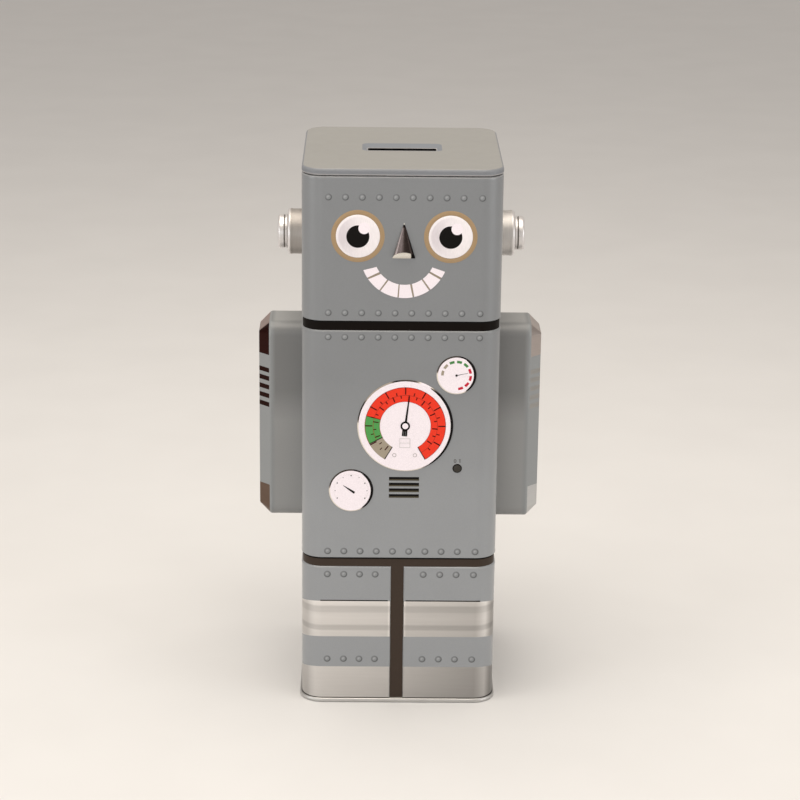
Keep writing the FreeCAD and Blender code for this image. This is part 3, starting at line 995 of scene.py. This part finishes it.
def make_main_dial():
    """Large pressure dial: coloured ring, two scales of ticks, needle and hub."""
    x, z, radius = MAIN_DIAL
    place = wall_place("front", x, z)
    face = DIAL_FACE
    top = face + 2 * INK
    outer, inner = 17.45, 10.95
    builder = Builder()
    make_dial_base(builder, place, radius, main_rim_tone)

    def tick(degrees, low, high, width, look="tick"):
        line = bar(polar(low, clock(degrees)), polar(high, clock(degrees)), width, width)
        builder.plate(line, face, top, look, place)

    zones = ((-150, -118, "tan"), (-118, -75, "green"), (-75, 150, "red"))
    for start, end, look in zones:
        outline = sector(inner, outer, clock(end), clock(start), 72)
        builder.plate(outline, face - 0.05, face + INK, look, place)
    for edge in (-150, -118, 150):
        tick(edge, inner, outer, 0.36, "black")
    tick(-75, inner, outer, 0.26)
    for number in range(-4, 5):
        tick(30 * number, 14.2, outer, 0.5)
    for number in range(-5, 5):
        tick(30 * number + 15, 14.0, 15.3, 0.42)
        tick(29.6 * number + 6.5, 11.6, 14.0, 0.48)
        if number > -5:
            tick(29.6 * number - 8.3, 12.5, 13.8, 0.42)
    for radius_used, width in ((outer, 0.2), (13.9, 0.16), (inner + 0.1, 0.12)):
        outline = sector(radius_used - width, radius_used, clock(150), clock(-118), 96)
        builder.plate(outline, face, top, "scale", place)
    needle = bar(polar(1.7, clock(7)), polar(13.4, clock(7)), 0.95, 0.45)
    builder.plate(needle, face, top + INK, "black", place)
    tail = bar(polar(1.7, clock(184)), polar(4.6, clock(184)), 2.2, 2.3)
    builder.plate(tail, face, top, "black", place)
    for shift in (-0.45, 0.35):
        line = bar((shift - 0.15, -2.4), (shift - 0.35, -4.4), 0.22, 0.22)
        builder.plate(line, face, top + INK, "mark", place)
    step, crown = top + 2 * INK, top + 3 * INK
    hub = [(2.05, face), (2.05, step), (1.3, step), (1.3, crown), (0, crown)]
    builder.lathe(hub, ["black", "black", "white", "white"], place, 40)
    for low, high in ((-9.8, -9.6), (-7.8, -7.6), (-5.8, -5.6)):
        builder.plate(rectangle(-2.4, 2.2, low, high), face, top, "faint", place)
    for left in (-2.4, 2.0):
        builder.plate(rectangle(left, left + 0.2, -9.8, -5.6), face, top, "faint", place)
    for across in (-4.6, 4.3):
        ring = place @ Matrix.Translation((across, -13.2, 0))
        builder.lathe([(0.9, face), (0.9, top), (0.62, top), (0.62, face)], "dots", ring, 24)
    builder.save("main_dial")


def make_upper_dial():
    """Small dial with coloured dashes and a thin needle."""
    x, z, radius = UPPER_DIAL
    place = wall_place("front", x, z)
    face = DIAL_FACE
    builder = Builder()
    make_dial_base(builder, place, radius, small_rim_tone)
    looks = ("tan", "tan", "dark_green", "dark_green", "dark_green") + ("dark_red",) * 4
    for number, look in enumerate(looks):
        middle = 170 - 30.3 * number
        outline = sector(5.5, 6.6, middle - 10, middle + 10, 8)
        builder.plate(outline, face - 0.05, face + INK, look, place)
    needle = bar((0, 0), polar(5.0, 12), 0.3, 0.12)
    builder.plate(needle, face, face + 2 * INK, "mark", place)
    hub = [(0.5, face), (0.5, face + 0.15), (0.3, face + 0.22), (0, face + 0.24)]
    builder.lathe(hub, "black", place, 24)
    builder.save("upper_dial")


def make_lower_dial():
    """Small dial with dots round its edge and a short needle."""
    x, z, radius = LOWER_DIAL
    place = wall_place("front", x, z)
    face = DIAL_FACE
    builder = Builder()
    make_dial_base(builder, place, radius, small_rim_tone)
    for number in range(9):
        spot = place @ Matrix.Translation((*polar(6.9, -30 + 30 * number), 0))
        size = 0.3 if number % 2 == 0 else 0.2
        builder.lathe([(size, face - 0.05), (size, face + INK), (0, face + INK)], "mark", spot, 16)
    for number in range(49):
        if number % 6:
            line = bar(polar(7.2, -30 + 5 * number), polar(7.6, -30 + 5 * number), 0.1, 0.1)
            builder.plate(line, face, face + INK, "faint", place)
    needle = bar((0.2, -0.1), (-3.4, 2.35), 0.85, 0.15)
    builder.plate(needle, face, face + 2 * INK, "black", place)
    tail = bar((0.2, -0.1), (1.5, -1.0), 0.85, 1.0)
    builder.plate(tail, face, face + 2 * INK, "black", place)
    builder.save("lower_dial")


def make_louvres():
    """Four louvre slits, each a dark mouth over a lighter lip."""
    builder = Builder()
    for height in LOUVRE_HEIGHTS:
        place = wall_place("front", LOUVRE_CENTRE, height)
        mouth = rectangle(-LOUVRE_HALF, LOUVRE_HALF, -0.3, 0.75)
        lip = rectangle(-LOUVRE_HALF, LOUVRE_HALF, -0.85, -0.28)
        builder.plate(mouth, -0.05, INK, "black", place)
        builder.plate(lip, -0.05, 3 * INK, "lip", place)
    builder.save("louvres")


def make_switch():
    """Round switch dot with two small generic marks over it."""
    place = wall_place("front", *SWITCH)
    builder = Builder()
    radius = SWITCH_RADIUS
    profile = [(radius + 0.35, -0.05), (radius + 0.3, 0.06), (radius, 0.05), (radius - 0.15, 0.35)]
    profile += [(radius * 0.6, 0.62), (radius * 0.3, 0.66), (0, 0.66)]
    looks = ["dots", "black", "black", "switch", "switch", "switch"]
    builder.lathe(profile, looks, place, 40)
    off = place @ Matrix.Translation((-0.95, 3.35, 0))
    ring = [
        [(0.62 * math.cos(a) * share, 0.85 * math.sin(a) * share, rise) for a in circle_angles(24)]
        for share, rise in ((1, -0.02), (1, INK), (0.45, INK), (0.45, -0.02))
    ]
    builder.rings(ring, "mark", closed=True, place=off)
    on_bar = bar((1.15, 2.5), (1.15, 4.2), 0.45, 0.45)
    builder.plate(on_bar, -0.02, INK, "mark", place)
    flag = bar((0.75, 3.75), (1.15, 4.15), 0.25, 0.25)
    builder.plate(flag, -0.02, INK, "mark", place)
    builder.save("switch")


def make_base():
    """Double seam round the foot, and the base panel with its stiffening step."""
    reach = SEAM_STAND_OUT
    profile = [(0.0, SEAM_RIM - 0.25), (0.25 * reach, SEAM_RIM - 0.02), (0.6 * reach, SEAM_RIM)]
    profile += [(0.92 * reach, SEAM_RIM - 0.3), (reach, SEAM_RIM - 0.7), (reach, 0.8)]
    profile += [(0.93 * reach, 0.4), (0.65 * reach, 0.08), (0.3 * reach, 0.0)]
    profile += [(-0.5, 0.0), (-0.85, 0.1), (-1.1, 0.4), (-1.2, 0.9), (-1.6, 1.15), (-5.0, 1.2)]
    profile += [(-5.8, 1.5), (-6.6, 1.55), (-7.4, 1.25), (-8.6, 1.2)]
    upper = [(-8.6, 1.5), (-7.4, 1.55), (-6.6, 1.85), (-5.6, 1.8)]
    upper += [(-4.8, 1.5), (-1.5, 1.5), (-0.9, 1.8), (-0.35, 2.1)]
    outside = [body_loop(offset, height) for offset, height in profile]
    inside = [body_loop(offset, height) for offset, height in upper]
    panel = tuple(range(len(outside[0])))
    builder = Builder()
    builder.rings(outside, ["rim_tin"] * 12 + ["inside"] * (len(outside) - 13))
    builder.add(outside[-1], [panel[::-1]], "inside")
    builder.rings(inside + outside[:1], "inside")
    builder.add(inside[0], [panel], "inside")
    mesh = builder.mesh("base_seam")
    work = bmesh.new()
    work.from_mesh(mesh)
    bmesh.ops.remove_doubles(work, verts=work.verts, dist=0.0001 * MM)
    work.to_mesh(mesh)
    work.free()
    piece("base_seam", mesh, "body", ["base_plate"], 50)


# ---------------------------------------------------------------- lid

def make_lid_skin():
    """Pressed lid: rolled rim, rounded edge, flat top, dished slot and the hollow underside."""
    rim = ((-0.45, 0.12), (-0.12, 0.12), (-0.02, 0.3), (0.0, 0.6))
    rings_used = [body_loop(offset, BODY_TOP + up) for offset, up in rim]
    for step in range(7):
        angle = math.radians(90 * step / 6)
        drop = LID_EDGE * (1 - math.cos(angle))
        rings_used.append(body_loop(-drop, LID_TOP - LID_EDGE + LID_EDGE * math.sin(angle)))
    rings_used.append(body_loop(-2.4, LID_TOP))
    rings_used += dish_rings(0.0)
    rings_used += reversed(dish_rings(GAUGE))
    hollow = ((-2.4, GAUGE), (-LID_EDGE, GAUGE), (-0.7, 0.75), (-0.45, LID_EDGE))
    rings_used += [body_loop(offset, LID_TOP - down) for offset, down in hollow]
    top_rows = 11 + len(dish_rings(0.0))
    # Painted light and shade on the lid: black under the rolled rim as painted shadow in the seam, a
    # lighter rim and slot lip as painted highlights, a bluish edge and slot slope as painted shade, and
    # black down the slot as its shadow.
    looks = ["black"] + ["lid_rim"] * 2 + ["lid_edge"] * 5 + ["lid_paint"] * (top_rows - 16)
    looks += ["slot_slope"] * 4 + ["slot_lip"] * 2 + ["black"] * 2
    looks += ["inside"] * (len(rings_used) - top_rows)
    builder = Builder()
    builder.rings(rings_used, looks, closed=True)
    builder.save("lid_skin", "lid_body", "painted_lid", ["lid"], 50)


def dish_rings(under):
    """Rings down the dish to the slot, on the top face or, moved by under, on the lower one."""
    rings_used = []
    profile = ((0, 0), (0.06, 0.03), (0.14, 0.12), (0.5, 0.52), (0.82, 0.88), (0.92, 0.97), (1, 1))
    if under:
        profile = profile[:1] + profile[2:5] + profile[6:]
    for share, drop in profile:
        half_x = DISH_HALF[0] + (SLOT_HALF[0] + 0.35 - DISH_HALF[0]) * share + under * (1 - share)
        half_y = DISH_HALF[1] + (SLOT_HALF[1] + 0.35 - DISH_HALF[1]) * share + under * (1 - share)
        radius = DISH_CORNER + (SLOT_CORNER + 0.35 - DISH_CORNER) * share
        rings_used.append(rounded_loop(half_x, half_y, radius, LID_TOP - DISH_DEPTH * drop - under))
    if not under:
        for wider, drop in ((0.12, 0.06), (0.0, 0.16), (0.0, 0.3)):
            half_x, half_y, radius = (size + wider for size in (*SLOT_HALF, SLOT_CORNER))
            rings_used.append(rounded_loop(half_x, half_y, radius, LID_TOP - DISH_DEPTH - drop))
    return rings_used


# ---------------------------------------------------------------- ears and arms

def round_edge(radius, depth, edge):
    """Profile points of a rounded outer edge."""
    points = []
    for step in range(7):
        angle = math.radians(90 * step / 6)
        points.append((radius - edge + edge * math.cos(angle), depth - edge + edge * math.sin(angle)))
    return points


def make_ear(name, sign):
    """Stepped ear knob: a drum with a rounded edge and a cap with a turned groove, with painted
    highlights on the rims and painted shade in the grooves.
    """
    height = (EAR_HIGH.z + EAR_LOW.z) / 2
    radius = EAR_HIGH.z - height
    # The drum's tint differs between the ears: painted light.
    plain = name + "_silver"
    depth = CAP_LOW.x - EAR_LOW.x
    place = side_place(sign, EAR_LOW.x, height)
    drum = [(radius - 0.4, 0.0), (radius, 0.0), (radius, 0.6), (radius - 0.14, 0.8)]
    drum += [(radius - 0.14, depth - 2.2), (radius, depth - 2.0)]
    looks = [plain] * 5
    edge = round_edge(radius, depth, 1.2)
    drum += edge
    # Painted highlight on the rounded edge.
    looks += [plain] + ["silver_rim"] * len(edge)
    drum += [(radius - 2.0, depth - 0.1), (CAP_HIGH.z - height + 0.3, depth - 0.35)]
    drum += [(CAP_HIGH.z - height - 0.6, depth - 0.4), (radius - 2.6, depth - 0.8)]
    drum += [(radius - 0.5, depth - 1.6)]
    # Painted shade where the drum meets the cap.
    looks += [plain, "silver_dark", plain, plain, plain]
    builder = Builder()
    builder.lathe(drum + drum[:1], looks, place, 96)
    builder.save(name + "_ear_drum", "body", "satin_silver", [name + "_ear_base"], 50)

    radius = CAP_HIGH.z - height
    start = depth - 0.3
    depth = CAP_HIGH.x - EAR_LOW.x
    cap = [(radius - 0.4, start), (radius - 0.1, start), (radius - 0.05, start + 0.5)]
    cap += [(radius, start + 0.7), (radius, start + 1.3), (radius - 0.3, start + 1.45)]
    cap += [(radius - 0.3, start + 1.85), (radius, start + 2.0)]
    # Painted shade in the cap's grooves and painted highlights on its rims.
    looks = [plain, "silver_dark"] + ["silver_rim"] * 3 + ["silver_dark"] * 2
    edge = round_edge(radius, depth, 1.1)
    cap += edge
    looks += ["silver_rim"] * (len(edge) + 1)
    cap += [(radius - 2.0, depth), (radius - 2.25, depth - 0.3), (radius - 2.7, depth - 0.35)]
    cap += [(radius - 3.1, depth - 0.12), (2.4, depth - 0.02), (0, depth)]
    inner = [(0, depth - 0.45), (radius - 1.6, depth - 0.6), (radius - 0.8, depth - 1.2)]
    looks += [plain, "silver_dark", plain] + [plain] * 6
    builder = Builder()
    builder.lathe(cap + inner + cap[:1], looks, place, 96)
    builder.save(name + "_ear_knob", "body", "satin_silver", [name + "_ear_cap"], 50)


def arm_look(name, centre, normal):
    """Look of one face of an arm: paint, the lighter side paint as painted light, or one of the bare
    zones, whose tints are painted reflections.
    """
    if centre.x < ARM_FLAT - 0.7:
        return "arm_paint"
    if centre.x < ARM_FLAT + 0.45:
        return "arm_side"
    if any(abs(centre.z - stripe) < ARM_STRIPE_HALF for stripe in ARM_STRIPES):
        return name + "_arm_stripe"
    if centre.z < ARM_HAND_ZONE:
        return name + "_arm_hand"
    if centre.z > ARM_SHOULDER_ZONE:
        # Upward faces of the shoulder zone take the lighter top tint: painted light.
        return name + ("_arm_top" if normal.z > 0.66 else "_arm_zone")
    return "arm_side"


def arm_ring(x, inset):
    """The arm's outline moved in by inset, at one distance from the middle plane."""
    half = (ARM_HIGH.y - ARM_LOW.y) / 2 - inset
    tall = (ARM_HIGH.z - ARM_LOW.z) / 2 - inset
    middle = (ARM_HIGH.z + ARM_LOW.z) / 2
    corner = max(ARM_CORNER - inset, 0.3)
    return [(x, y, middle + z) for y, z, _ in rounded_loop(half, tall, corner, 0, 8)]


def arm_rings():
    """Rings from the open side of the arm over its chamfer to the outer face."""
    bend = math.tan(math.radians(22.5))
    rings_used = [arm_ring(ARM_LOW.x - ARM_REACH_IN, 0), arm_ring(ARM_FLAT - 1.4, 0)]
    angles = [math.radians(45 * step / 4) for step in range(5)]
    for angle in angles:
        x = ARM_FLAT + ARM_EDGE * (math.sin(angle) - bend)
        rings_used.append(arm_ring(x, ARM_EDGE * (1 - math.cos(angle))))
    for angle in angles:
        turn = angle + math.radians(45)
        x = ARM_HIGH.x + ARM_FACE_EDGE * (math.sin(turn) - 1)
        rings_used.append(arm_ring(x, ARM_CHAMFER + ARM_FACE_EDGE * (bend - math.cos(turn))))
    return rings_used


def make_arm(name, sign):
    """Hollow pressed arm, chamfered round its outer face, with bare-metal zones tinted with painted
    reflections.
    """
    looks = ["arm_paint", "arm_side"]
    looks += [name + "_arm_" + zone for zone in ("zone", "stripe", "top", "hand")] + ["inside"]
    rings_used = arm_rings()
    builder = Builder()
    builder.rings(rings_used, "arm_paint")
    builder.add(rings_used[-1], [tuple(range(len(rings_used[-1])))], "arm_paint")
    mesh = builder.mesh(name + "_arm_skin")
    mesh.materials.clear()
    for look in looks:
        mesh.materials.append(LOOKS[look])
    work = bmesh.new()
    work.from_mesh(mesh)
    bmesh.ops.remove_doubles(work, verts=work.verts, dist=0.001 * MM)
    bmesh.ops.recalc_face_normals(work, faces=work.faces)
    cuts = [ARM_SHOULDER_ZONE, ARM_HAND_ZONE]
    cuts += [ARM_HIGH.z - ARM_CORNER - 0.8, ARM_LOW.z + ARM_CORNER + 0.8]
    for stripe in ARM_STRIPES:
        cuts += [stripe - ARM_STRIPE_HALF, stripe + ARM_STRIPE_HALF]
    for height in cuts:
        geom = work.verts[:] + work.edges[:] + work.faces[:]
        bmesh.ops.bisect_plane(work, geom=geom, plane_co=(0, 0, height * MM), plane_no=(0, 0, 1))
    work.normal_update()
    for face in work.faces:
        look = arm_look(name, face.calc_center_median() / MM, face.normal)
        face.material_index = looks.index(look)
    for vertex in work.verts:
        vertex.co.x *= sign
    work.to_mesh(mesh)
    work.free()
    shell = [name + "_arm_shell"]
    thing = piece(name + "_arm_skin", mesh, name + "_arm", shell, 40)
    wall = thing.modifiers.new("sheet", "SOLIDIFY")
    wall.thickness = GAUGE * MM
    wall.offset = -1
    wall.material_offset = len(looks) - 1
    thing.modifiers.move(1, 0)


# ---------------------------------------------------------------- kept hardware

def paint_hardware():
    """Materials for the CAD nodes that stay as they are."""
    plated = ["ear_rivet", "ear_washer", "shoulder_rivet", "shoulder_spacer", "shoulder_washer"]
    looks = {"lid_plug": "tin"}
    for name in ("left", "right"):
        looks[name + "_arm_back_plate"] = "tin"
        for part in plated:
            looks[name + "_" + part] = "steel"
    for node, look in looks.items():
        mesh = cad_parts[node].data
        mesh.materials.clear()
        mesh.materials.append(LOOKS[look])


# ---------------------------------------------------------------- studio

FLOOR_REACH = 5.0
SKY = (1.0, 0.94, 0.875)
SKY_STRENGTH = 0.52

# Lamps: name, position and size in metres, power, colour
LAMPS = (
    ("overhead", (-0.05, -0.1, 1.05), 0.9, 9.4, (1.0, 0.93, 0.83)),
    ("key", (-0.5, -1.7, 0.3), 0.8, 3.4, (0.94, 0.98, 1.0)),
    ("left", (-1.3, -0.75, 0.3), 0.8, 5.5, (0.95, 0.98, 1.0)),
    ("right", (1.3, -0.75, 0.3), 0.8, 6.5, (0.95, 0.98, 1.0)),
)

# Camera: metres, degrees, and millimetres for the lens
CAMERA_TARGET = (0.00032, 0, 0.12699)
CAMERA_DISTANCE = 1.11606
CAMERA_AZIMUTH = -0.718
CAMERA_ELEVATION = 17.664
CAMERA_ROLL = 0.656
CAMERA_LENS = 112.37
CAMERA_SENSOR = 36


def make_floor():
    """Plain pale floor."""
    material, tree, bsdf = shader("studio_floor")
    tones = ((0.3, (0.725, 0.715, 0.71)), (0.7, (0.745, 0.735, 0.73)))
    colour = ramp(tree, noise(tree, 60, 2), tones)
    tree.links.new(colour, bsdf.inputs["Base Color"])
    bsdf.inputs["Roughness"].default_value = 0.6
    mesh = bpy.data.meshes.new("studio_floor")
    corners_used = [(x, y, 0) for x, y in rectangle(-FLOOR_REACH, FLOOR_REACH, -FLOOR_REACH, FLOOR_REACH)]
    mesh.from_pydata(corners_used, [], [(0, 1, 2, 3)])
    mesh.materials.append(material)
    floor = bpy.data.objects.new("studio_floor", mesh)
    bpy.context.scene.collection.objects.link(floor)


def add_light(name, position, size, power, colour):
    """Soft square lamp aimed at the middle of the tin."""
    lamp = bpy.data.lights.new(name, "AREA")
    lamp.size = size
    lamp.energy = power
    lamp.color = colour
    thing = bpy.data.objects.new(name, lamp)
    thing.location = position
    aim = Vector((0, 0, LID_TOP * MM / 2)) - Vector(position)
    thing.rotation_euler = aim.to_track_quat("-Z", "Y").to_euler()
    bpy.context.scene.collection.objects.link(thing)


def light_studio():
    """Even pale surroundings, a warm lamp overhead, a soft key in front and a lamp on each side."""
    world = bpy.data.worlds.new("studio")
    world.use_nodes = True
    background = world.node_tree.nodes["Background"]
    background.inputs["Color"].default_value = (*SKY, 1)
    background.inputs["Strength"].default_value = SKY_STRENGTH
    bpy.context.scene.world = world
    bpy.context.scene.view_settings.view_transform = "Standard"
    for lamp in LAMPS:
        add_light(*lamp)


def place_camera():
    """Camera a little above the head, almost square to the face, with a slight roll."""
    angles = (CAMERA_AZIMUTH, CAMERA_ELEVATION, CAMERA_ROLL)
    azimuth, elevation, roll = (math.radians(angle) for angle in angles)
    flat = math.cos(elevation)
    back = Vector((math.sin(azimuth) * flat, -math.cos(azimuth) * flat, math.sin(elevation)))
    level = Vector((math.cos(azimuth), math.sin(azimuth), 0))
    up = back.cross(level)
    right = level * math.cos(roll) + up * math.sin(roll)
    up = back.cross(right)
    lens = bpy.data.cameras.new("camera")
    lens.sensor_width = CAMERA_SENSOR
    lens.lens = CAMERA_LENS
    camera = bpy.data.objects.new("camera", lens)
    turn = Matrix((right, up, back)).transposed().to_4x4()
    camera.matrix_world = Matrix.Translation(Vector(CAMERA_TARGET) + back * CAMERA_DISTANCE) @ turn
    bpy.context.scene.collection.objects.link(camera)
    bpy.context.scene.camera = camera


make_body_skin()
make_knee_creases()
make_rivet_heads()
make_eye("left_eye", EYES[0])
make_eye("right_eye", EYES[1])
make_nose()
make_mouth()
make_main_dial()
make_upper_dial()
make_lower_dial()
make_louvres()
make_switch()
make_base()
make_lid_skin()
for side_name, side_sign in (("left", -1), ("right", 1)):
    make_ear(side_name, side_sign)
    make_arm(side_name, side_sign)
paint_hardware()
make_floor()
light_studio()
place_camera()
